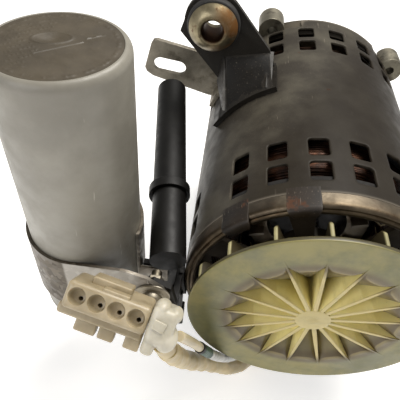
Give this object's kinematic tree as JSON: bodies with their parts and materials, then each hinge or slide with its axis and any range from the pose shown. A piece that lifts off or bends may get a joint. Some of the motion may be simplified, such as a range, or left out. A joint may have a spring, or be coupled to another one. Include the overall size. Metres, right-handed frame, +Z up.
{
  "type": "fan-cooled blower motor",
  "caption": "Induction blower motor with a ribbed nylon cooling fan wheel on its shaft, a strapped run capacitor, rubber-isolated hanging bracket, slotted tension tab and a plug-in lead.",
  "frame": {"origin": "centre of the bore of the rubber-isolated sleeve in the hanging bracket", "axes": "+Y along the motor axis from the fan wheel to the output shaft, +Z up along the capacitor, +X across the motor from the capacitor side"},
  "size_m": [0.2024, 0.2621, 0.2031],
  "materials": {
    "shell_paint": "satin",
    "bracket_paint": "satin",
    "cast_aluminium": "satin",
    "bearing_bronze": "satin",
    "oil_felt": "matte",
    "galvanised_steel": "satin",
    "zinc_fastener": "gloss",
    "lamination_steel": "matte",
    "copper_winding": "gloss",
    "shaft_steel": "satin",
    "fan_nylon": "satin",
    "capacitor_case": "satin",
    "capacitor_lid": "satin",
    "capacitor_film": "gloss",
    "tinned_contact": "gloss",
    "black_plastic": "satin",
    "black_rubber": "matte",
    "yellow_zinc": "satin",
    "connector_nylon": "satin",
    "lock_nylon": "satin",
    "lead_sleeving": "satin"
  },
  "bodies": {
    "stator": {"motor_shell": "shell_paint", "mounting_bracket": "bracket_paint", "capacitor_bracket": "bracket_paint", "front_end_frame": "cast_aluminium", "rear_end_frame": "cast_aluminium", "rear_lugs": "cast_aluminium", "front_bearing": "bearing_bronze", "rear_bearing": "bearing_bronze", "front_oil_felt": "oil_felt", "rear_oil_felt": "oil_felt", "capacitor_strap": "galvanised_steel", "tension_tab": "galvanised_steel", "front_bearing_cap": "galvanised_steel", "rear_bearing_cap": "galvanised_steel", "strap_washer": "zinc_fastener", "strap_screw": "zinc_fastener", "strap_nut": "zinc_fastener", "stator_core": "lamination_steel", "front_winding": "copper_winding", "rear_winding": "copper_winding", "capacitor_can": "capacitor_case", "capacitor_base": "capacitor_case", "capacitor_end_disc": "capacitor_lid", "capacitor_element": "capacitor_film", "capacitor_terminals": "tinned_contact", "connector_contacts": "tinned_contact", "support_strut": "black_plastic", "strut_collar": "black_plastic", "thermal_protector": "black_plastic", "bracket_bumper": "black_rubber", "isolator_grommet": "black_rubber", "harness_boot": "black_rubber", "isolator_sleeve": "yellow_zinc", "connector_housing": "connector_nylon", "connector_lock": "lock_nylon", "harness_sleeving": "lead_sleeving", "second_lead": "lead_sleeving"},
    "rotor": {"shaft": "shaft_steel", "rotor_core": "lamination_steel", "rotor_front_ring": "cast_aluminium", "rotor_rear_ring": "cast_aluminium", "front_thrust_washer": "shaft_steel", "rear_thrust_washer": "shaft_steel", "fan_wheel": "fan_nylon", "fan_ribs": "fan_nylon", "fan_blades": "fan_nylon", "fan_clip": "zinc_fastener"}
  },
  "joints": [
    {"name": "rotor_spin", "type": "hinge", "parent": "stator", "child": "rotor", "pos_m": [0.065, 0, -0.0805], "axis": [0, 1, 0], "continuous": true}
  ]
}
